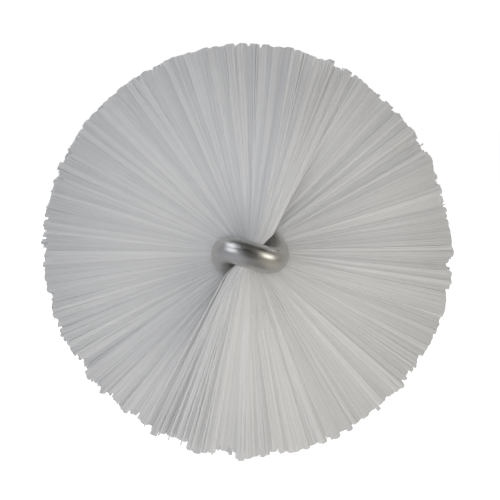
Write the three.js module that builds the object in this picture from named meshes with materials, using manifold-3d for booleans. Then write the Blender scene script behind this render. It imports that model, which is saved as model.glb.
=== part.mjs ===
// A twisted-in-wire pipe brush. One stainless wire is folded at the tip and twisted on itself, left-handed,
// and its two legs grip a helical fill of plastic bristles. A ferrule with a stud is crimped on its cut ends.
import * as THREE from 'three';
import { mergeVertices } from 'three/addons/utils/BufferGeometryUtils.js';
import Module from 'manifold-3d';

// Driving dimensions, in millimetres and degrees
const BRUSH_DIAMETER = 50;
const BRISTLED_LENGTH = 140;
const STRAND_WIDTH = 0.7;
const STRAND_SPACE = 0.1;
const REST_FLAT_DEPTH = 0.5;

const WIRE_DIAMETER = 3.2;
const FOLD_FLARE = 0.65;
const FOLD_SLANT = -17;
const FILL_GAP = 1.4;
const BARE_GAP = 0.5;
const TWIST_LEAD = 18;
const TWIST_RAMP = 6;
const FOLD_SETTLE = 5;
const BARE_SETTLE = 6;
const BARE_LENGTH = 16.3;

const STUD_DIAMETER = 8;
const STUD_LENGTH = 14;
const STUD_CHAMFER = 0.8;
const RELIEF_WIDTH = 3.5;
const RELIEF_DEPTH = 1;
const HEX_ACROSS_FLATS = 13;
const HEX_LENGTH = 6;
const HEX_CHAMFER_ANGLE = 30;
const SLEEVE_LENGTH = 20;
const SLEEVE_WALL = 1.5;
const MOUTH_CHAMFER = 0.5;
const BORE_FLOOR = 4;
const DENT_RADIUS = 1.8;
const DENT_DEPTH = 0.6;
const DENT_INSET = 5.5;
const DENT_ROW_SPACING = 8;

const SEAT_CLEARANCE = 0.3;
const FOLD_CLEARANCE = 0.5;

// Counts
const BRISTLE_NODES = ['bristles_tip', 'bristles_front', 'bristles_middle', 'bristles_rear'];
const WIRE_SIDES = 10;
const WIRE_STEPS_PER_TURN = 14;
const LATHE_SEGMENTS = 32;
const DENT_ROWS = 2;
const DENTS_PER_ROW = 4;
const DENT_STEPS = 12;
const GAP_SAMPLES = 900;

// Stations along the stem, measured from the end face of the stud towards the tip
const shoulderZ = STUD_LENGTH;
const sleeveZ = shoulderZ + HEX_LENGTH;
const mouthZ = sleeveZ + SLEEVE_LENGTH;
const boreFloorZ = shoulderZ + BORE_FLOOR;
const stemEndZ = boreFloorZ + SEAT_CLEARANCE;
const bristleRearZ = mouthZ + BARE_LENGTH;
const bristleFrontZ = bristleRearZ + BRISTLED_LENGTH;
const crestZ = bristleFrontZ + FOLD_CLEARANCE + WIRE_DIAMETER / 2;
const tipZ = crestZ + WIRE_DIAMETER / 2;

// Radii from the stem's axis to the middle of each leg, and of the sleeve that takes both
const fillLegRadius = (WIRE_DIAMETER + FILL_GAP) / 2;
const foldRadius = fillLegRadius + FOLD_FLARE;
const bareLegRadius = (WIRE_DIAMETER + BARE_GAP) / 2;
const boreRadius = bareLegRadius + WIRE_DIAMETER / 2 + SEAT_CLEARANCE;
const sleeveRadius = boreRadius + SLEEVE_WALL;
const twistRate = (2 * Math.PI) / TWIST_LEAD;

// A strand is an equilateral triangle in section, with one edge towards the tip
const strandDepth = (STRAND_WIDTH * Math.sqrt(3)) / 2;

const wasm = await Module();
wasm.setup();

function toSolid(geometry) {
  const bare = geometry.clone();
  bare.deleteAttribute('normal');
  bare.deleteAttribute('uv');
  const merged = mergeVertices(bare, 1e-4);
  const vertProperties = new Float32Array(merged.getAttribute('position').array);
  const triVerts = new Uint32Array(merged.getIndex().array);
  return new wasm.Manifold(new wasm.Mesh({ numProp: 3, vertProperties, triVerts }));
}

function toGeometry(solid) {
  const { vertProperties, triVerts } = solid.getMesh();
  const geometry = new THREE.BufferGeometry();
  geometry.setAttribute('position', new THREE.BufferAttribute(vertProperties, 3));
  geometry.setIndex(new THREE.BufferAttribute(triVerts, 1));
  return geometry;
}

// Turn of the two legs at a depth behind the crest of the fold. Seen from the tip it is counter-clockwise going
// away, builds up from none over the ramp, and dies away over another ramp before the straight cut ends.
function twistAngle(depth) {
  const end = crestZ - stemEndZ - WIRE_DIAMETER;
  const turning = THREE.MathUtils.clamp(depth, 0, end);
  const lead = Math.min(turning, TWIST_RAMP);
  const trail = Math.max(turning - (end - TWIST_RAMP), 0);
  const built = turning - lead + lead ** 2 / (2 * TWIST_RAMP) - trail ** 2 / (2 * TWIST_RAMP);
  return THREE.MathUtils.degToRad(FOLD_SLANT) + twistRate * built;
}

// A leg's distance from the axis: the legs flare at the fold, close on the fill, and close up behind it.
function legRadius(depth) {
  const { lerp, smoothstep } = THREE.MathUtils;
  const rearDepth = crestZ - bristleRearZ;
  const gripping = smoothstep(depth, foldRadius, foldRadius + FOLD_SETTLE);
  const closing = smoothstep(depth, rearDepth, rearDepth + BARE_SETTLE);
  return lerp(lerp(foldRadius, fillLegRadius, gripping), bareLegRadius, closing);
}

// The wire's centreline, from one cut end over the crest of the fold to the other cut end
class FoldedStem extends THREE.Curve {
  constructor() {
    super();
    this.arcLengthDivisions = GAP_SAMPLES;
    this.quarterArch = (foldRadius * Math.PI) / 2;
    this.legLength = this.quarterArch + crestZ - foldRadius - stemEndZ;
  }

  getPoint(t, target = new THREE.Vector3()) {
    const side = t < 0.5 ? -1 : 1;
    const travelled = Math.abs(2 * t - 1) * this.legLength;
    const bend = Math.min(travelled / foldRadius, Math.PI / 2);
    const straight = Math.max(travelled - this.quarterArch, 0);
    const depth = foldRadius * (1 - Math.cos(bend)) + straight;
    const radius = side * Math.sin(bend) * legRadius(depth);
    const angle = twistAngle(depth);
    return target.set(radius * Math.cos(angle), radius * Math.sin(angle), crestZ - depth);
  }
}

// Least clear distance between the two legs behind the fold, from points on the centreline
function leastGap(stem) {
  const points = stem.getPoints(GAP_SAMPLES);
  const behindFold = (point) => point.z < crestZ - foldRadius;
  const oneLeg = points.slice(0, GAP_SAMPLES / 2).filter(behindFold);
  const otherLeg = points.slice(GAP_SAMPLES / 2).filter(behindFold);
  const nearest = oneLeg.map((a) => Math.min(...otherLeg.map((b) => a.distanceTo(b))));
  return Math.min(...nearest) - WIRE_DIAMETER;
}

function stemWire() {
  const stem = new FoldedStem();
  console.log(`least gap between the legs of the wire: ${leastGap(stem).toFixed(2)} mm`);
  const section = new THREE.Shape();
  section.absarc(0, 0, WIRE_DIAMETER / 2, 0, 2 * Math.PI);
  const turnLength = Math.hypot(TWIST_LEAD, 2 * Math.PI * fillLegRadius);
  const steps = 2 * Math.round((stem.getLength() / turnLength / 2) * WIRE_STEPS_PER_TURN);
  return new THREE.ExtrudeGeometry(section, { extrudePath: stem, steps, curveSegments: WIRE_SIDES / 2 });
}

// Corners of the gripped band, counter-clockwise from the tip: the legs lie along x, so both long sides are
// waisted by them. The waist is drawn out along y because the wires cross the section slantwise.
function bandCorners() {
  const edge = WIRE_DIAMETER / 2;
  const hollow = WIRE_DIAMETER / 2 + SEAT_CLEARANCE;
  const drawnOut = hollow * Math.hypot(1, fillLegRadius * twistRate);
  const waist = fillLegRadius - hollow;
  const mouth = fillLegRadius - hollow * Math.sqrt(1 - (edge / drawnOut) ** 2);
  return [[mouth, edge], [-mouth, edge], [-waist, 0], [-mouth, -edge], [mouth, -edge], [waist, 0]];
}

// One stretch of bristles with its slice of the gripped band. The band is a row of cells, one a filament, and
// a three-sided strand grows from both narrow ends of a cell. The brush lies on strands that are cut flat.
function bristles(rearZ, frontZ) {
  const axis = new THREE.Vector3(0, 0, 1);
  const points = [];
  const faces = [];
  const put = (x, y, z, angle) => points.push(new THREE.Vector3(x, y, z).applyAxisAngle(axis, angle)) - 1;
  const patch = (a, b, c, d) => faces.push(a, b, c, a, c, d);
  const count = Math.max(1, Math.round((frontZ - rearZ) / (strandDepth + STRAND_SPACE)));
  const cell = (frontZ - rearZ) / count;
  const corners = bandCorners();
  const bandEdge = corners[0][1];

  const ring = (z) => corners.map(([x, y]) => put(x, y, z, twistAngle(crestZ - z)));

  const section = (end, reach, z) => {
    const angle = twistAngle(crestZ - z);
    const half = (end * STRAND_WIDTH) / 2;
    const rear = z - strandDepth / 2;
    const front = z + strandDepth / 2;
    return [
      put(half, end * reach, rear, angle),
      put(-half, end * reach, rear, angle),
      put(0, end * reach, front, angle),
    ];
  };

  const strand = (end, z, [a, b, c, d]) => {
    const root = section(end, bandEdge, z);
    const tip = section(end, BRUSH_DIAMETER / 2, z);
    patch(a, b, root[1], root[0]);
    patch(b, c, root[2], root[1]);
    patch(d, a, root[0], root[2]);
    faces.push(c, d, root[2], tip[0], tip[1], tip[2]);
    patch(root[0], root[1], tip[1], tip[0]);
    patch(root[1], root[2], tip[2], tip[1]);
    patch(root[2], root[0], tip[0], tip[2]);
  };

  let near = ring(rearZ);
  patch(near[5], near[2], near[1], near[0]);
  patch(near[4], near[3], near[2], near[5]);
  for (let i = 0; i < count; i += 1) {
    const far = ring(rearZ + (i + 1) * cell);
    const middle = rearZ + (i + 0.5) * cell;
    for (const side of [1, 2, 4, 5]) {
      const next = (side + 1) % corners.length;
      patch(near[side], near[next], far[next], far[side]);
    }
    strand(1, middle, [near[0], near[1], far[1], far[0]]);
    strand(-1, middle, [near[3], near[4], far[4], far[3]]);
    near = far;
  }
  patch(near[0], near[1], near[2], near[5]);
  patch(near[5], near[2], near[3], near[4]);

  const fill = new THREE.BufferGeometry().setFromPoints(points).setIndex(faces);
  const below = new THREE.BoxGeometry(BRUSH_DIAMETER, 2 * REST_FLAT_DEPTH, 2 * tipZ);
  below.translate(0, -BRUSH_DIAMETER / 2, 0);
  return toGeometry(toSolid(fill).subtract(toSolid(below)));
}

// A turned solid whose profile gives the radius and the station of each corner, from the axis back to the axis
function turned(profile) {
  const points = profile.map(([radius, z]) => new THREE.Vector2(radius, z));
  return toSolid(new THREE.LatheGeometry(points, LATHE_SEGMENTS).rotateX(Math.PI / 2));
}

function hexagon() {
  const cornerRadius = HEX_ACROSS_FLATS / Math.sqrt(3);
  const faceRadius = HEX_ACROSS_FLATS / 2;
  const chamfer = (cornerRadius - faceRadius) * Math.tan(THREE.MathUtils.degToRad(HEX_CHAMFER_ANGLE));
  const prism = new THREE.CylinderGeometry(cornerRadius, cornerRadius, HEX_LENGTH, 6);
  prism.rotateX(Math.PI / 2).translate(0, 0, shoulderZ + HEX_LENGTH / 2);
  const rounding = turned([
    [0, shoulderZ],
    [faceRadius, shoulderZ],
    [cornerRadius, shoulderZ + chamfer],
    [cornerRadius, sleeveZ - chamfer],
    [faceRadius, sleeveZ],
    [0, sleeveZ],
  ]);
  return toSolid(prism).intersect(rounding);
}

// Crimp dents: rows of round-nosed punch marks that lock the sleeve on the stem
function crimpDents() {
  const dents = [];
  for (let row = 0; row < DENT_ROWS; row += 1) {
    for (let i = 0; i < DENTS_PER_ROW; i += 1) {
      const dent = new THREE.SphereGeometry(DENT_RADIUS, DENT_STEPS, DENT_STEPS / 2);
      dent.translate(sleeveRadius + DENT_RADIUS - DENT_DEPTH, 0, mouthZ - DENT_INSET - row * DENT_ROW_SPACING);
      dents.push(toSolid(dent.rotateZ((2 * Math.PI * (i + row / 2)) / DENTS_PER_ROW)));
    }
  }
  return dents;
}

function ferrule() {
  const studRadius = STUD_DIAMETER / 2;
  const reliefRadius = studRadius - RELIEF_DEPTH;
  const insideHexZ = shoulderZ + HEX_LENGTH / 2;
  const body = turned([
    [0, 0],
    [studRadius - STUD_CHAMFER, 0],
    [studRadius, STUD_CHAMFER],
    [studRadius, shoulderZ - RELIEF_WIDTH],
    [reliefRadius, shoulderZ - RELIEF_WIDTH + RELIEF_DEPTH],
    [reliefRadius, insideHexZ],
    [sleeveRadius, insideHexZ],
    [sleeveRadius, mouthZ - MOUTH_CHAMFER],
    [sleeveRadius - MOUTH_CHAMFER, mouthZ],
    [0, mouthZ],
  ]);
  const bore = turned([
    [0, boreFloorZ],
    [boreRadius, boreFloorZ],
    [boreRadius, mouthZ + MOUTH_CHAMFER],
    [0, mouthZ + MOUTH_CHAMFER],
  ]);
  const bored = body.add(hexagon()).subtract(bore);
  return toGeometry(crimpDents().reduce((piece, dent) => piece.subtract(dent), bored));
}

const drawnStainless = new THREE.MeshStandardMaterial({ color: 0xb4b6b8, metalness: 1, roughness: 0.32 });
const turnedStainless = new THREE.MeshStandardMaterial({ color: 0xbcbec0, metalness: 1, roughness: 0.25 });
const whiteFilament = new THREE.MeshStandardMaterial({ color: 0xdfe1e3, metalness: 0, roughness: 0.45 });

function addPiece(group, name, geometry, material) {
  const mesh = new THREE.Mesh(geometry, material);
  mesh.name = name;
  group.add(mesh);
}

// The brush lies along y with its tip towards -y, on the flat of its bristles, over the middle of its length.
const lying = new THREE.Group();
lying.rotation.x = Math.PI / 2;
lying.position.set(0, tipZ / 2, BRUSH_DIAMETER / 2 - REST_FLAT_DEPTH);

addPiece(lying, 'stem_wire', stemWire(), drawnStainless);
const stretch = BRISTLED_LENGTH / BRISTLE_NODES.length;
BRISTLE_NODES.forEach((name, i) => {
  const frontZ = bristleFrontZ - i * stretch;
  addPiece(lying, name, bristles(frontZ - stretch + SEAT_CLEARANCE, frontZ), whiteFilament);
});
addPiece(lying, 'threaded_ferrule', ferrule(), turnedStainless);

const pipeBrush = new THREE.Group();
pipeBrush.add(lying);

export default pipeBrush;
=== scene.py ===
import math

import bpy
import numpy as np
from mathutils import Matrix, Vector


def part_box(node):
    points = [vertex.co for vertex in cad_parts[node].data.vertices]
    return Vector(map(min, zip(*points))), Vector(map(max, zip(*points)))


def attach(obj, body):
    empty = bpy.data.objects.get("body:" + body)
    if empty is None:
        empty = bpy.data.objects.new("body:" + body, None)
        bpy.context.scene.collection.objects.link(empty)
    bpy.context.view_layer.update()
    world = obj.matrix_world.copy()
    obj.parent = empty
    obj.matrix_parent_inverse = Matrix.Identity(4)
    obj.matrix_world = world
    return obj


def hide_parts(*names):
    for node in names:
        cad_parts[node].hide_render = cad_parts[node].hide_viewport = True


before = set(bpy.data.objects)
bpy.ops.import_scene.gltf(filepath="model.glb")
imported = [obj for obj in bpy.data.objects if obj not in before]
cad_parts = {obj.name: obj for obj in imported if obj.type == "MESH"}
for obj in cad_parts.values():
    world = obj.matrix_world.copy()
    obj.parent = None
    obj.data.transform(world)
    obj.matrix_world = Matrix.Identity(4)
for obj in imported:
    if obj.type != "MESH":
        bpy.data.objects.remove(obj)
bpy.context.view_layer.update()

# A millimetre in metres, and a metre in millimetres
MM = 0.001
METRE = 1000

# Where the stem lies in the frame
CREST_Y = -98.4
AXIS_HEIGHT = 24.5

# The folded and twisted wire
WIRE_RADIUS = 1.6
FOLD_RADIUS = 2.95
FILL_LEG_RADIUS = 2.3
BARE_LEG_RADIUS = 1.85
FOLD_SLANT = math.radians(-17)
TWIST_LEAD = 18
TWIST_RAMP = 6
FOLD_SETTLE = 5
BARE_SETTLE = 6
REAR_DEPTH = 142.1
STEM_END_DEPTH = 180.1
WIRE_RINGS = 1101
WIRE_SIDES = 28
# the crest is flattened here by a hair, as the faceted solid's is
WIRE_FRONT_DEPTH = -1.565

# The filaments: how many, and how the legs grip them
FILL_FRONT_DEPTH = 2.1
STRETCH_LENGTH = 35.0
FILAMENTS_PER_STRETCH = 14000
FIRST_SEED = 40
FILAMENT_RADIUS = 0.11
FILAMENT_SIDES = 4
LAYER_SHARE = 0.22
GOLDEN_RATIO = 0.618034
GRIP_REACH = 2.0
FAN_GRIP_REACH = 0.8
GRIP_SQUEEZE = 0.5

# Their splay along the stem in degrees: of every other filament, of those between them, and of every fourth one in
# the end turns. It grows, or fades, between these distances from the crest or from the rear of the fill.
SPLAY = 12.5
CORE_SPLAY = 4
END_SPLAY = 9
SPLAY_FROM_FRONT = (11.6, 13)
SPLAY_FROM_REAR = (5, 8)
END_SPLAY_GROWS = (3, 5)
END_SPLAY_FADES = (9.5, 7.5)

# The fans at both ends of the fill: how far they are shifted along the legs, and the depth in which that fades, for
# the whole fan and for its outermost filaments, and the depth of the strands that show one by one at its edge
FAN_OFFSET = 1.5
FAN_SETTLE = 0.8
EDGE_OFFSET = 0.7
EDGE_SETTLE = 0.25
EDGE_STRANDS = 0.5
# by how much the first filaments fan out, the outermost of them fan out further and lean back, and their tufts stray
FAN_ABOVE = tuple(math.radians(a) for a in (9, 9, 4, 3))
FAN_BELOW = tuple(math.radians(a) for a in (8, 10, 0, 0))
# the very first filaments, which stand apart in front of the fan
FRONT_STRANDS = 9
FRONT_SPREAD = 0.7

# Tufts: how even their widths are, their mean widths along the stem, and the share of the way to its tuft's middle
# that a filament clings
TUFT_EVENNESS = 4
SMALL_TUFT = 0.06
LARGE_TUFT = 0.2
PALE_TUFT = 0.05
SMALL_CLING = 0.15
EDGE_CLING = 0.7
LARGE_CLING = 0.15
# the tufts' own values, about 0 to 2, between which they grow pale (a whiter tone, partly a painted highlight on
# their ridges), stray fully, or stand apart at the edge (with a painted highlight)
PALE_BETWEEN = (0.9, 1.7)
FULLY_ASTRAY = 1.5
APART_BETWEEN = (0.5, 0.9)
# the direction in which the round is most ragged, and how narrowly
RAGGED_ANGLE = math.radians(225)
RAGGED_POWER = 1.3

# Single filaments that are loose at the tip, or stray anywhere
LOOSE_SHARE = 0.015
LOOSE_DEPTHS = (6, 3)
STRAY_SHARE = 0.002

# Degrees by which filaments turn sideways, and lean along the stem
DRIFT_SPACING = 0.5
TURN_JITTER = 0.1
TURN_STRAY = 12
LEAN_SMALL_TUFT = 0.15
LEAN_LARGE_TUFT = 0.3
LEAN_DRIFT = 0.6
LEAN_JITTER = 0.04
LEAN_FAN = 2
LEAN_PALE = 0.4
LEAN_LOOSE = (0.4, 1.2)
# the share of its stray by which an outermost tuft also leans
LEAN_ASTRAY = 0.4

# The trim: a circle a little off the axis. A tuft is cut shorter by its own value and is rounded or square at its
# end, all round by the even factor, and on the ragged side by the other one too.
TRIM_RADIUS = 24.7
TRIM_SHIFT = 0.3
TRIM_SHIFT_ANGLE = math.radians(125)
TRIM_LIMIT = 25.0
TRIM_EVEN = 1.5
TRIM_RAGGED = 2.2
TRIM_SMALL_TUFT = 0.15
TRIM_LARGE_TUFT = 0.1
TRIM_ROUND = 0.06
TRIM_SQUARE = 0.04
TRIM_JITTER = 0.02

# Tone, from 0 to 1 between the two whites: random, plus painted light. Pale tufts are whiter, partly as a painted
# highlight on their proud ridges; loose filaments, strands apart at the fan's edge and the front strands carry a
# painted highlight; the filaments near the fan's edge carry painted shade.
TONE = 0.25
TONE_JITTER = 0.12
PALE_TONE_AND_HIGHLIGHT = 0.45
LOOSE_PAINTED_HIGHLIGHT = 0.8
EDGE_PAINTED_SHADE = -0.3
APART_PAINTED_HIGHLIGHT = 0.6

# The ferrule, by its distance from the end face of the stud
STUD_END_Y = 100
STUD_RADIUS = 4.0
THREAD_PITCH = 1.25
THREAD_DEPTH = 0.77
# shares of half the pitch: the flat crest, and the flank down to the flat root
THREAD_CREST = 0.125
THREAD_FLANK = 0.625
STUD_CHAMFER = 0.8
RELIEF_START = 10.5
RELIEF_RADIUS = 3.0
RELIEF_FILLET = (0.3, 0.1, 0)
SHOULDER = 14.0
HEX_FACE_RADIUS = 6.5
HEX_CHAMFER_ANGLE = math.radians(30)
SLEEVE_START = 20.0
SLEEVE_RADIUS = 5.25
SLEEVE_FILLET = 0.3
MOUTH = 40.0
MOUTH_CHAMFER = 0.5
BORE_RADIUS = 3.75
BORE_CHAMFER = 0.3
BORE_FLOOR = 18.0
DENT_RADIUS = 1.8
DENT_DEPTH = 0.6
DENT_BLEND = 0.12
DENT_ROWS = ((34.5, 0.0), (26.5, math.radians(45)))
FERRULE_SIDES = 180
STUD_RINGS = 139
HEX_EDGE_RINGS = 9
SLEEVE_RINGS = 91
SHARP_ANGLE = math.radians(28)


def place(points):
    """Millimetres in the brush's own axes to metres in the frame."""
    return (np.asarray(points, float) + (0, CREST_Y, AXIS_HEIGHT)) * MM


def smooth_step(value, low, high):
    """3 f^2 - 2 f^3 of the fraction f of the way from low to high, held at both ends."""
    f = np.clip((value - low) / (high - low), 0, 1)
    return f * f * (3 - 2 * f)


def twist_angle(depth):
    """Turn of the legs: one turn a lead, built up from none over a ramp and dying away over another one."""
    end = STEM_END_DEPTH - 2 * WIRE_RADIUS
    turning = np.clip(depth, 0, end)
    lead = np.minimum(turning, TWIST_RAMP)
    trail = np.maximum(turning - (end - TWIST_RAMP), 0)
    built = turning - lead + lead**2 / (2 * TWIST_RAMP) - trail**2 / (2 * TWIST_RAMP)
    return FOLD_SLANT + 2 * math.pi / TWIST_LEAD * built


def leg_radius(depth):
    """A leg's distance from the axis: flared at the fold, closed on the fill, closed up behind it."""
    gripping = smooth_step(depth, FOLD_RADIUS, FOLD_RADIUS + FOLD_SETTLE)
    closing = smooth_step(depth, REAR_DEPTH, REAR_DEPTH + BARE_SETTLE)
    filled = FOLD_RADIUS + (FILL_LEG_RADIUS - FOLD_RADIUS) * gripping
    return filled + (BARE_LEG_RADIUS - filled) * closing


def skin(name, points, faces, finish, stands_for):
    """One piece from its points and its faces: rows of corner numbers, of the rounded faces and of the flat caps."""
    mesh = bpy.data.meshes.new(name)
    corners = np.concatenate([f.ravel() for f in faces]).astype(np.int32)
    sizes = np.concatenate([np.full(len(f), f.shape[1]) for f in faces])
    mesh.vertices.add(len(points))
    mesh.vertices.foreach_set("co", place(points).astype(np.float32).ravel())
    mesh.loops.add(len(corners))
    mesh.loops.foreach_set("vertex_index", corners)
    mesh.polygons.add(len(sizes))
    mesh.polygons.foreach_set("loop_start", (np.cumsum(sizes) - sizes).astype(np.int32))
    mesh.polygons.foreach_set("use_smooth", np.arange(len(sizes)) < len(faces[0]))
    mesh.update(calc_edges=True)
    mesh.materials.append(finish)
    piece = bpy.data.objects.new(name, mesh)
    bpy.context.scene.collection.objects.link(piece)
    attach(piece, "root")
    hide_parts(stands_for)
    return piece


def tube_faces(rings, sides):
    """Quads between neighbouring rings of a tube whose rings turn right-handed round its path, and its two caps."""
    ring, side = np.meshgrid(np.arange(rings - 1), np.arange(sides), indexing="ij")
    here, after = ring * sides + side, ring * sides + (side + 1) % sides
    quads = np.stack([here, after, after + sides, here + sides], -1).reshape(-1, 4)
    caps = np.stack([np.arange(sides)[::-1], np.arange(sides) + (rings - 1) * sides])
    return [quads, caps]


def give(piece, name, kind, values):
    """A value at each point of a piece, for its material to read."""
    attribute = piece.data.attributes.new(name, kind, "POINT")
    key = "vector" if kind == "FLOAT_VECTOR" else "value"
    attribute.data.foreach_set(key, np.asarray(values, np.float32).ravel())


def linear(hex_colour):
    """An sRGB hex colour as linear RGBA."""
    srgb = np.array([int(hex_colour[i:i + 2], 16) for i in (1, 3, 5)]) / 255
    rgb = np.where(srgb <= 0.04045, srgb / 12.92, ((srgb + 0.055) / 1.055) ** 2.4)
    return (*rgb.tolist(), 1.0)


def add(tree, kind, inputs=(), **settings):
    """Adds a node: settings are its properties, inputs its values or the sockets linked to it."""
    made = tree.nodes.new(kind)
    for key, value in settings.items():
        setattr(made, key, value)
    for key, value in dict(inputs).items():
        if isinstance(value, bpy.types.NodeSocket):
            tree.links.new(value, made.inputs[key])
        else:
            made.inputs[key].default_value = value
    return made


def new_finish(name):
    """An empty material's tree and the output that its shader goes to."""
    material = bpy.data.materials.new(name)
    material.use_nodes = True
    tree = material.node_tree
    tree.nodes.clear()
    return material, tree, tree.nodes.new("ShaderNodeOutputMaterial")


# Drawn stainless steel wire: the die leaves fine lines along it, so its satin gloss is streaked lengthwise, and the
# twisting leaves a few short dark scores.
def drawn_stainless():
    material, tree, output = new_finish("drawn_stainless_wire")
    drawn = add(tree, "ShaderNodeAttribute", attribute_name="drawn").outputs["Vector"]
    # die lines 0.25 mm apart and about 25 mm long
    lines = add(tree, "ShaderNodeMapping", {"Vector": drawn, "Scale": (0.04, 4, 4)})
    line = add(tree, "ShaderNodeTexNoise", {"Vector": lines.outputs["Vector"], "Scale": 1, "Detail": 3})
    # scores about 0.25 mm wide and 1.5 mm long
    marks = add(tree, "ShaderNodeMapping", {"Vector": drawn, "Scale": (0.55, 3.2, 3.2)})
    mark = add(tree, "ShaderNodeTexNoise", {"Vector": marks.outputs["Vector"], "Scale": 1, "Detail": 1})
    score = add(tree, "ShaderNodeMapRange",
                {"Value": mark.outputs["Fac"], "From Min": 0.69, "From Max": 0.77})
    gloss = add(tree, "ShaderNodeMapRange",
                {"Value": line.outputs["Fac"], "From Min": 0.3, "From Max": 0.7, "To Min": 0.3, "To Max": 0.42})
    tint = add(tree, "ShaderNodeMix", {0: score.outputs["Result"], 6: linear("#C9C8C5"), 7: linear("#55534F")},
               data_type="RGBA")
    bump = add(tree, "ShaderNodeBump", {"Height": line.outputs["Fac"], "Strength": 0.6, "Distance": 0.00004})
    shader = add(tree, "ShaderNodeBsdfPrincipled",
                 {"Base Color": tint.outputs[2], "Metallic": 1.0, "Roughness": gloss.outputs["Result"],
                  "Normal": bump.outputs["Normal"]})
    tree.links.new(shader.outputs["BSDF"], output.inputs["Surface"])
    return material


# Turned stainless steel: the lathe tool leaves fine rings round the axis, so the gloss runs in bands across it.
def turned_stainless():
    material, tree, output = new_finish("turned_stainless_ferrule")
    place_on = add(tree, "ShaderNodeTexCoord").outputs["Object"]
    # feed marks of 0.2 mm, drawn 0.4 mm apart so that they show
    rings = add(tree, "ShaderNodeMapping", {"Vector": place_on, "Scale": (60, 2500, 60)})
    ring = add(tree, "ShaderNodeTexNoise", {"Vector": rings.outputs["Vector"], "Scale": 1, "Detail": 3})
    gloss = add(tree, "ShaderNodeMapRange",
                {"Value": ring.outputs["Fac"], "From Min": 0.3, "From Max": 0.7, "To Min": 0.2, "To Max": 0.36})
    bump = add(tree, "ShaderNodeBump", {"Height": ring.outputs["Fac"], "Strength": 0.3, "Distance": 0.00003})
    shader = add(tree, "ShaderNodeBsdfPrincipled",
                 {"Base Color": linear("#CFCFCE"), "Metallic": 1.0, "Roughness": gloss.outputs["Result"],
                  "Normal": bump.outputs["Normal"]})
    tree.links.new(shader.outputs["BSDF"], output.inputs["Surface"])
    return material


# Extruded white polyester filament: smooth and slightly glossy along its length, milky enough that light passes
# from one filament into the next, and no two filaments quite the same white. Its tone also holds painted light: pale
# tufts whiter, partly as a painted highlight; a painted highlight on loose filaments and on the strands at the fan's
# edge; painted shade on the filaments behind them.
def white_filament():
    material, tree, output = new_finish("extruded_white_polyester_filament")
    tone_and_painted_light = add(tree, "ShaderNodeAttribute", attribute_name="tone_and_painted_light").outputs["Fac"]
    # the tone picks a white per filament, and carries painted highlights and painted shade as well
    tint = add(tree, "ShaderNodeMix", {0: tone_and_painted_light, 6: linear("#E6E7E8"), 7: linear("#FCFCFC")}, data_type="RGBA")
    shader = add(tree, "ShaderNodeBsdfPrincipled",
                 {"Base Color": tint.outputs[2], "Roughness": 0.42, "IOR": 1.55})
    tree.links.new(shader.outputs["BSDF"], output.inputs["Surface"])
    return material


def wire_path(t):
    """The wire's centreline from one cut end (t = 0) over the crest (t = 1/2) to the other. The arch of the fold
    is a quarter circle on each side, and the legs behind it turn round the axis at their own distance from it."""
    quarter_arch = FOLD_RADIUS * math.pi / 2
    leg_length = quarter_arch + STEM_END_DEPTH - FOLD_RADIUS
    travelled = np.abs(2 * t - 1) * leg_length
    bend = np.minimum(travelled / FOLD_RADIUS, math.pi / 2)
    depth = FOLD_RADIUS * (1 - np.cos(bend)) + np.maximum(travelled - quarter_arch, 0)
    radius = np.where(t < 0.5, -1, 1) * np.sin(bend) * leg_radius(depth)
    angle = twist_angle(depth)
    return np.stack([radius * np.cos(angle), depth, radius * np.sin(angle)], -1), angle


def stem_wire(finish):
    """A circle carried along the wire's centreline. The ring's first radius is the direction across both legs'
    plane, made square to the path, so the rings don't spin."""
    t = np.linspace(0, 1, WIRE_RINGS)
    path, angle = wire_path(t)
    tangent = np.gradient(path, axis=0)
    step = np.linalg.norm(tangent, axis=1, keepdims=True)
    tangent /= step
    across = np.stack([-np.sin(angle), np.zeros_like(angle), np.cos(angle)], -1)
    across -= (across * tangent).sum(1, keepdims=True) * tangent
    across /= np.linalg.norm(across, axis=1, keepdims=True)
    third = np.cross(tangent, across)
    v = np.linspace(0, 2 * math.pi, WIRE_SIDES, endpoint=False)
    ring = WIRE_RADIUS * (np.cos(v)[:, None] * across[:, None] + np.sin(v)[:, None] * third[:, None])
    points = (path[:, None] + ring).reshape(-1, 3)
    points[:, 1] = np.maximum(points[:, 1], WIRE_FRONT_DEPTH)
    piece = skin("folded_stem_wire", points, tube_faces(WIRE_RINGS, WIRE_SIDES), finish,
                 "stem_wire")
    # the wire as it left the die: its length, and its section unturned
    along = np.cumsum(step[:, 0])[:, None] + 0 * v
    straight = np.stack([along, WIRE_RADIUS * np.cos(v) + 0 * along, WIRE_RADIUS * np.sin(v) + 0 * along], -1)
    give(piece, "drawn", "FLOAT_VECTOR", straight)


def drift(rng, depth, spacing):
    """A wandering value of about unit size: random values every spacing along the depth, joined by lines."""
    stations = np.arange(depth.min() - spacing, depth.max() + 2 * spacing, spacing)
    return np.interp(depth, stations, rng.normal(size=len(stations)))


def tufts(rng, depth, width):
    """Filaments that cling together: the middle of each one's tuft, its place from -1 to 1 across the tuft, and a
    random value that the tuft shares."""
    # more tufts than the depth holds on average, so that they always cover it
    spare_share, spare = 1.5, 20
    number = int(np.ptp(depth) / width * spare_share) + spare
    steps = width * rng.gamma(TUFT_EVENNESS, 1 / TUFT_EVENNESS, number)
    edges = depth.min() + np.cumsum(steps)
    tuft = np.searchsorted(edges, depth)
    middle = (edges - steps / 2)[tuft]
    return middle, (depth - middle) / (steps / 2)[tuft], np.abs(rng.normal(size=len(edges)))[tuft]


def at_ends(depth, settle):
    """How far a filament is one of the first, 1 at the front of the fill, or of the last, 1 at its rear."""
    return np.exp(-(depth - FILL_FRONT_DEPTH) / settle), np.exp((depth - REAR_DEPTH) / settle)


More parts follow.
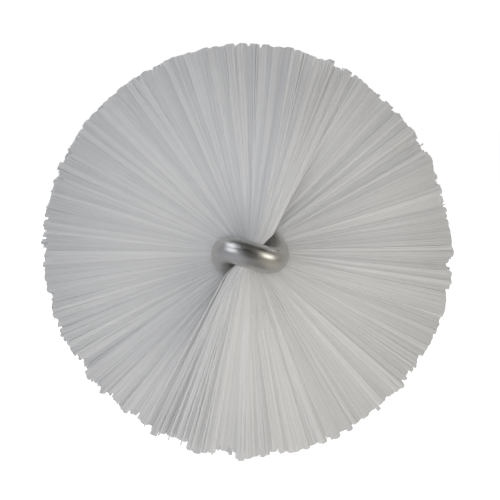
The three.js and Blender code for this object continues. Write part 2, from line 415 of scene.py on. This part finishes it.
def filaments(node, seed, finish):
    """Strands through the gap between the legs, at the legs' angle plus a quarter turn, which fan out against the
    twist at both ends of the fill. Each end turns a little sideways and lengthwise with its tuft, and is cut where
    it meets the trim circle or the floor."""
    rng = np.random.default_rng(seed)
    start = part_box(node)[0][1] * METRE - CREST_Y
    count = FILAMENTS_PER_STRETCH
    order = np.arange(count)
    depth = start + STRETCH_LENGTH * (order + rng.random(count)) / count
    legs = twist_angle(depth)
    front, rear = at_ends(depth, FAN_SETTLE)
    outermost = sum(at_ends(depth, EDGE_SETTLE))
    at_edge = at_ends(depth, EDGE_STRANDS)[0]
    gap = leg_radius(depth) - WIRE_RADIUS - FILAMENT_RADIUS
    layer = LAYER_SHARE * gap * (2 * (order * GOLDEN_RATIO % 1) - 1)
    reach = GRIP_REACH + FAN_GRIP_REACH * (front + rear)
    loose = rng.random(count) < LOOSE_SHARE * smooth_step(depth, *LOOSE_DEPTHS)
    strand = (order < FRONT_STRANDS) & (start < STRETCH_LENGTH)

    from_end = np.minimum(depth, REAR_DEPTH - depth)
    inside = smooth_step(depth, *SPLAY_FROM_FRONT) * smooth_step(REAR_DEPTH - depth, *SPLAY_FROM_REAR)
    in_end_turn = (smooth_step(from_end, *END_SPLAY_GROWS) * smooth_step(from_end, *END_SPLAY_FADES)
                   * (order % 4 == 1))
    splay = inside * np.where(order % 2, SPLAY, CORE_SPLAY) + in_end_turn * END_SPLAY
    # in the end turns it is towards the middle of the brush alone
    splay_middle = in_end_turn * END_SPLAY * np.where(depth < REAR_DEPTH / 2, 1, -1)

    ends = []
    for side, fan, edge, edge_lean, feather in ((1, *FAN_ABOVE), (-1, *FAN_BELOW)):
        small_middle, small_place, small = tufts(rng, depth, SMALL_TUFT)
        large_middle, large_place, large = tufts(rng, depth, LARGE_TUFT)
        # pale tufts get a whiter tone and lean forward; the whiter tone is partly a painted highlight on their proud
        # ridges
        pale = smooth_step(tufts(rng, depth, PALE_TUFT)[2], *PALE_BETWEEN)
        apart = smooth_step(small, *APART_BETWEEN)
        astray = feather * np.minimum(small, FULLY_ASTRAY) / FULLY_ASTRAY
        ragged = (0.5 + 0.5 * np.cos(legs + side * math.pi / 2 - RAGGED_ANGLE)) ** RAGGED_POWER

        clung = (depth - (SMALL_CLING + EDGE_CLING * outermost) * (depth - small_middle)
                 - LARGE_CLING * ragged * (depth - large_middle))
        clung = np.where(strand, depth + FRONT_SPREAD * order / FRONT_STRANDS, clung)
        (first, last), (edge_first, edge_last) = at_ends(clung, FAN_SETTLE), at_ends(clung, EDGE_SETTLE)
        stray = (rng.random(count) < STRAY_SHARE) * rng.normal(size=count)
        sideways = (twist_angle(clung) - legs - fan * (first - last) - (edge + astray) * (edge_first - edge_last)
                    + np.radians(drift(rng, depth, DRIFT_SPACING) + TURN_JITTER * rng.normal(size=count)
                                 + TURN_STRAY * stray))
        offset = layer + side * (FAN_OFFSET * (first - last) + EDGE_OFFSET * (edge_first - edge_last))
        lean = (edge_lean + LEAN_ASTRAY * astray) * (edge_first - edge_last) + np.radians(
            LEAN_SMALL_TUFT * small + LEAN_LARGE_TUFT * large + LEAN_DRIFT * drift(rng, depth, DRIFT_SPACING)
            + LEAN_JITTER * rng.normal(size=count) - LEAN_FAN * front + LEAN_FAN * rear - LEAN_PALE * pale
            + at_edge * (1 - 2 * apart) - loose * rng.uniform(*LEAN_LOOSE, count)
            + splay_middle + splay * rng.uniform(-1, 1, count))
        shorter = (TRIM_SMALL_TUFT * small + TRIM_LARGE_TUFT * large + TRIM_ROUND * small_place**2
                   + TRIM_SQUARE * large_place**4)
        cut = TRIM_RADIUS - (TRIM_EVEN + TRIM_RAGGED * ragged) * shorter + TRIM_JITTER * rng.normal(size=count)
        # Painted light in the tone: pale tufts whiter, partly as a painted highlight on their proud ridges; loose
        # filaments, strands apart at the fan's edge and the front strands whiter as a painted highlight; all
        # filaments near the fan's front edge darker as painted shade in the gaps between its strands.
        tone_and_painted_light = np.clip(TONE + TONE_JITTER * rng.normal(size=count) + PALE_TONE_AND_HIGHLIGHT * pale + LOOSE_PAINTED_HIGHLIGHT * loose
                       + at_edge * (APART_PAINTED_HIGHLIGHT * apart + EDGE_PAINTED_SHADE) + strand, 0, 1)
        ends.append((*filament_end(side, depth, legs, offset, reach, sideways, lean, cut), sideways, tone_and_painted_light))
    (near_a, end_a, turn_a, tone_a), (near_b, end_b, turn_b, tone_b) = ends

    path = np.stack([end_a, near_a, near_b, end_b], 1)
    turn = legs[:, None] + np.stack([turn_a, 0.5 * turn_a, 0.5 * turn_b, turn_b], 1)
    thickness = FILAMENT_RADIUS * np.array([1, GRIP_SQUEEZE, GRIP_SQUEEZE, 1])
    corner = np.arange(FILAMENT_SIDES) * 2 * math.pi / FILAMENT_SIDES
    roll = rng.uniform(0, 2 * math.pi, count)[:, None, None] + corner
    width = thickness[:, None] * np.cos(roll)
    height = thickness[:, None] * np.sin(roll)
    across = np.stack([np.cos(turn), np.zeros_like(turn), np.sin(turn)], -1)
    points = (path[:, :, None] + width[..., None] * across[:, :, None]
              + height[..., None] * np.array((0, 1, 0)))
    tone_and_painted_light = np.repeat(np.stack([tone_a, tone_a, tone_b, tone_b], 1), FILAMENT_SIDES, axis=1)

    rings = path.shape[1]
    first_point = (np.arange(count // 2) * rings * FILAMENT_SIDES)[:, None, None]
    faces = [(first_point + kind[:, ::-1]).reshape(-1, kind.shape[1])
             for kind in tube_faces(rings, FILAMENT_SIDES)]
    for part, name in enumerate(("filaments_", "splayed_filaments_")):
        piece = skin(name + node.split("_")[1], points[part::2].reshape(-1, 3), faces, finish,
                     node)
        give(piece, "tone_and_painted_light", "FLOAT", tone_and_painted_light[part::2])


def filament_end(side, depth, legs, offset, reach, sideways, lean, cut):
    """One end of each strand as two points: where the legs let it go, and where it is cut. The cut is the root of
    |p + l d - c| = R along the strand, shortened where that is below the floor."""
    def heading(turn, slope):
        return side * np.stack([-np.sin(legs + turn), side * np.tan(slope), np.cos(legs + turn)], -1)

    leg_line = np.stack([np.cos(legs), np.zeros_like(legs), np.sin(legs)], -1)
    near = offset[:, None] * leg_line + reach[:, None] * heading(0, 0 * lean)
    near[:, 1] += depth
    last = heading(sideways, lean)
    centre = TRIM_SHIFT * np.array((math.cos(TRIM_SHIFT_ANGLE), math.sin(TRIM_SHIFT_ANGLE)))
    flat, aim = near[:, ::2] - centre, last[:, ::2]
    along = (flat * aim).sum(1)
    length = np.sqrt(along**2 - (flat**2).sum(1) + np.minimum(cut, TRIM_LIMIT - TRIM_SHIFT) ** 2) - along
    # strands that don't point down never reach the floor
    drop = np.minimum(last[:, 2], -1e-6)
    length = np.minimum(length, (FILAMENT_RADIUS - AXIS_HEIGHT - near[:, 2]) / drop)
    return near, near + length[:, None] * last


def soft_minimum(a, b, blend):
    """The smaller of two values, rounded where they are within blend of each other."""
    h = np.clip(0.5 + 0.5 * (b - a) / blend, 0, 1)
    return b + (a - b) * h - blend * h * (1 - h)


def threaded_ferrule(finish):
    """A surface of revolution with a radius for each angle and row. The rows run from the end of the stud over the
    outside to the mouth and back down the bore. The thread is a trapezium wave of station minus angle, the hexagon
    1 / cos of the angle from a flat, and a crimp dent the sphere of its punch."""
    theta = np.linspace(0, 2 * math.pi, FERRULE_SIDES, endpoint=False)[None]
    hex_corner = HEX_FACE_RADIUS / math.cos(math.pi / 6)
    hex_chamfer = (hex_corner - HEX_FACE_RADIUS) * math.tan(HEX_CHAMFER_ANGLE)

    stud = np.linspace(0, RELIEF_START + STUD_RADIUS - RELIEF_RADIUS, STUD_RINGS)[:, None]
    wave = np.abs((stud / THREAD_PITCH - theta / (2 * math.pi)) % 1 - 0.5) * 2
    thread = STUD_RADIUS - THREAD_DEPTH * np.clip((wave - THREAD_CREST) / THREAD_FLANK, 0, 1)
    thread = np.minimum(thread, STUD_RADIUS - STUD_CHAMFER + stud)
    thread = np.minimum(thread, STUD_RADIUS - (stud - RELIEF_START))

    fillet = np.array(RELIEF_FILLET)[:, None]
    relief = SHOULDER - fillet
    relief_radius = RELIEF_RADIUS + fillet[::-1] + 0 * theta

    edge = np.linspace(0, hex_chamfer, HEX_EDGE_RINGS)[:, None]
    hexagon = np.concatenate([SHOULDER + edge, SLEEVE_START - edge[::-1]])
    flat = HEX_FACE_RADIUS / np.cos((theta + math.pi / 6) % (math.pi / 3) - math.pi / 6)
    from_face = np.minimum(hexagon - SHOULDER, SLEEVE_START - hexagon)
    cone = HEX_FACE_RADIUS + from_face / math.tan(HEX_CHAMFER_ANGLE)
    hex_radius = np.minimum(flat, cone)

    sleeve = np.linspace(SLEEVE_START, MOUTH - MOUTH_CHAMFER, SLEEVE_RINGS)[:, None]
    rise = np.clip(1 - (sleeve - SLEEVE_START) / SLEEVE_FILLET, 0, 1) ** 2
    sleeve_radius = SLEEVE_RADIUS + SLEEVE_FILLET * rise + 0 * theta
    punch = SLEEVE_RADIUS + DENT_RADIUS - DENT_DEPTH
    for station, turn in DENT_ROWS:
        off = (theta - turn + math.pi / 4) % (math.pi / 2) - math.pi / 4
        inside = DENT_RADIUS**2 - (punch * np.sin(off)) ** 2 - (sleeve - station) ** 2
        dent = punch * np.cos(off) - np.sqrt(np.maximum(inside, 0))
        sleeve_radius = np.where(inside > 0, soft_minimum(sleeve_radius, dent, DENT_BLEND), sleeve_radius)

    mouth = np.array([MOUTH, MOUTH, MOUTH - BORE_CHAMFER, BORE_FLOOR])[:, None]
    mouth_radius = np.array([SLEEVE_RADIUS - MOUTH_CHAMFER, BORE_RADIUS + BORE_CHAMFER, BORE_RADIUS,
                             BORE_RADIUS])[:, None]

    parts = ((stud, thread), (relief, relief_radius), (hexagon, hex_radius), (sleeve, sleeve_radius),
             (mouth, mouth_radius + 0 * theta))
    station = np.concatenate([s for s, _ in parts]) + 0 * theta
    radius = np.concatenate([r for _, r in parts])
    depth = STUD_END_Y - station - CREST_Y
    points = np.stack([radius * np.cos(theta), depth, radius * np.sin(theta)], -1)
    faces = tube_faces(len(station), FERRULE_SIDES)
    piece = skin("crimped_ferrule", points.reshape(-1, 3), faces, finish, "threaded_ferrule")
    piece.data.set_sharp_from_angle(angle=SHARP_ANGLE)


stem_wire(drawn_stainless())
white = white_filament()
for seed, node in enumerate(("bristles_tip", "bristles_front", "bristles_middle", "bristles_rear")):
    filaments(node, FIRST_SEED + seed, white)
threaded_ferrule(turned_stainless())


# Pale table, lit from within as a light table is, so that it reads as white as the paper behind the brush
FLOOR_SIZE = 12.0
material, tree, output = new_finish("matt_white_table")
shader = add(tree, "ShaderNodeBsdfPrincipled",
             {"Base Color": linear("#EDEDED"), "Roughness": 0.7, "Emission Color": (1, 1, 1, 1),
              "Emission Strength": 0.92})
tree.links.new(shader.outputs["BSDF"], output.inputs["Surface"])
half = FLOOR_SIZE / 2
floor_mesh = bpy.data.meshes.new("floor")
floor_mesh.from_pydata([(-half, -half, 0), (half, -half, 0), (half, half, 0), (-half, half, 0)], [], [(0, 1, 2, 3)])
floor_mesh.materials.append(material)
floor = bpy.data.objects.new("floor", floor_mesh)
bpy.context.scene.collection.objects.link(floor)
floor.visible_diffuse = False
floor.visible_glossy = False
floor.visible_shadow = False

# Studio: white paper all round for the eye, a dim room for the light, darkest behind the camera
world = bpy.data.worlds.new("studio")
bpy.context.scene.world = world
world.use_nodes = True
tree = world.node_tree
tree.nodes.clear()
direction = add(tree, "ShaderNodeTexCoord").outputs["Generated"]
axes = add(tree, "ShaderNodeSeparateXYZ", {"Vector": direction}).outputs
aside = add(tree, "ShaderNodeMath", {0: axes["X"]}, operation="ABSOLUTE").outputs["Value"]
sides = add(tree, "ShaderNodeMapRange",
            {"Value": aside, "From Min": 0.25, "From Max": 0.6, "To Min": 0.0, "To Max": 0.27})
overhead = add(tree, "ShaderNodeMapRange",
               {"Value": axes["Z"], "From Min": 0.3, "From Max": 0.8, "To Min": 1.0, "To Max": 0.25})
below = add(tree, "ShaderNodeMapRange",
            {"Value": axes["Z"], "From Min": -0.1, "From Max": -0.5, "To Min": 0.05, "To Max": 0.3})
room = add(tree, "ShaderNodeMath",
           {0: sides.outputs["Result"], 1: overhead.outputs["Result"], 2: below.outputs["Result"]},
           operation="MULTIPLY_ADD")
cool_to_warm = add(tree, "ShaderNodeMapRange", {"Value": axes["X"], "From Min": -0.5, "From Max": 0.5})
tint = add(tree, "ShaderNodeMix",
           {0: cool_to_warm.outputs["Result"], 6: linear("#F4F7FF"), 7: linear("#FFF9EE")}, data_type="RGBA")
dim = add(tree, "ShaderNodeBackground", {"Color": tint.outputs[2], "Strength": room.outputs["Value"]})
paper = add(tree, "ShaderNodeBackground", {"Color": (1, 1, 1, 1), "Strength": 1.05})
seen = add(tree, "ShaderNodeLightPath").outputs["Is Camera Ray"]
mixed = add(tree, "ShaderNodeMixShader",
            {0: seen, 1: dim.outputs["Background"], 2: paper.outputs["Background"]})
add(tree, "ShaderNodeOutputWorld", {"Surface": mixed.outputs["Shader"]})
bpy.context.scene.view_settings.view_transform = "Standard"

TIP = Vector((0, CREST_Y, AXIS_HEIGHT)) * MM


def softbox(name, left, up, distance, size, watts, colour, diffuse=True, glossy=True):
    """An area light aimed at the tip, from angles to the left of and above the line from the tip along -y."""
    light = bpy.data.lights.new(name, "AREA")
    light.shape = "RECTANGLE"
    light.size, light.size_y = size
    light.energy = watts
    light.color = linear(colour)[:3]
    lamp = bpy.data.objects.new(name, light)
    a, e = math.radians(left), math.radians(up)
    away = Vector((-math.sin(a) * math.cos(e), -math.cos(a) * math.cos(e), math.sin(e)))
    lamp.location = TIP + away * distance
    lamp.rotation_mode = "QUATERNION"
    lamp.rotation_quaternion = away.to_track_quat("Z", "Y")
    lamp.visible_diffuse, lamp.visible_glossy = diffuse, glossy
    bpy.context.scene.collection.objects.link(lamp)


# Each lamp's degrees left and up, its distance, width and height in metres, its watts and its colour.
# Boxes that show in the wire
WIRE_LAMPS = (
    ("softbox_left_high", 70, 44, 0.8, (0.48, 0.34), 1.1, "#F4F7FF"),
    ("softbox_left_low", 62, 9, 0.8, (0.46, 0.28), 0.8, "#F4F7FF"),
    ("softbox_right", -61, 16, 0.8, (0.44, 0.3), 1.2, "#FFFAF0"),
)
# Even light on the bristles
BRISTLE_LAMPS = (
    ("fill_front", 2, 2, 0.8, (0.2, 0.2), 1.65, "#FFFFFF"),
    ("fill_right", -45, 25, 0.8, (0.5, 0.5), 0.5, "#FFF8EC"),
    ("fill_low", -30, -50, 0.8, (0.6, 0.5), 0.45, "#FFFAF2"),
    ("fill_under", 0, -78, 0.6, (0.9, 0.9), 1.5, "#FFFDFA"),
    ("fill_top", 0, 78, 0.6, (0.6, 0.6), 0.5, "#FFFFFF"),
    ("fill_top_left", 50, 68, 0.6, (0.5, 0.5), 0.5, "#F2F6FF"),
)
# Light for the far side of the brush
BACK_LAMPS = (
    ("back_left", 140, 30, 1.0, (0.6, 0.6), 4.0, "#FFFFFF"),
    ("back_right", -140, 30, 1.0, (0.6, 0.6), 4.0, "#FFFFFF"),
)
for lamp in WIRE_LAMPS:
    softbox(*lamp, diffuse=False)
for lamp in BRISTLE_LAMPS:
    softbox(*lamp, glossy=False)
for lamp in BACK_LAMPS:
    softbox(*lamp)

# Camera: end-on at the tip, a little to the left and above. The disc of bristles is 205 pixels in radius.
CAMERA_DISTANCE = 430
CAMERA_LEFT = math.radians(2.0)
CAMERA_UP = math.radians(2.3)
RIM_DEPTH = 6.5
PIXELS_PER_MM = 8.43
IMAGE_SIZE = 500
AIM = (0.1, RIM_DEPTH, 0.36)

camera = bpy.data.objects.new("camera", bpy.data.cameras.new("camera"))
bpy.context.scene.collection.objects.link(camera)
back = Vector((-math.sin(CAMERA_LEFT) * math.cos(CAMERA_UP), -math.cos(CAMERA_LEFT) * math.cos(CAMERA_UP),
               math.sin(CAMERA_UP)))
camera.location = TIP + back * CAMERA_DISTANCE * MM
target = Vector(place(AIM).tolist())
camera.rotation_mode = "QUATERNION"
camera.rotation_quaternion = (target - camera.location).to_track_quat("-Z", "Y")
camera.data.lens = PIXELS_PER_MM * (CAMERA_DISTANCE + RIM_DEPTH) * camera.data.sensor_width / IMAGE_SIZE
camera.data.clip_start, camera.data.clip_end = 0.01, 50
bpy.context.scene.camera = camera
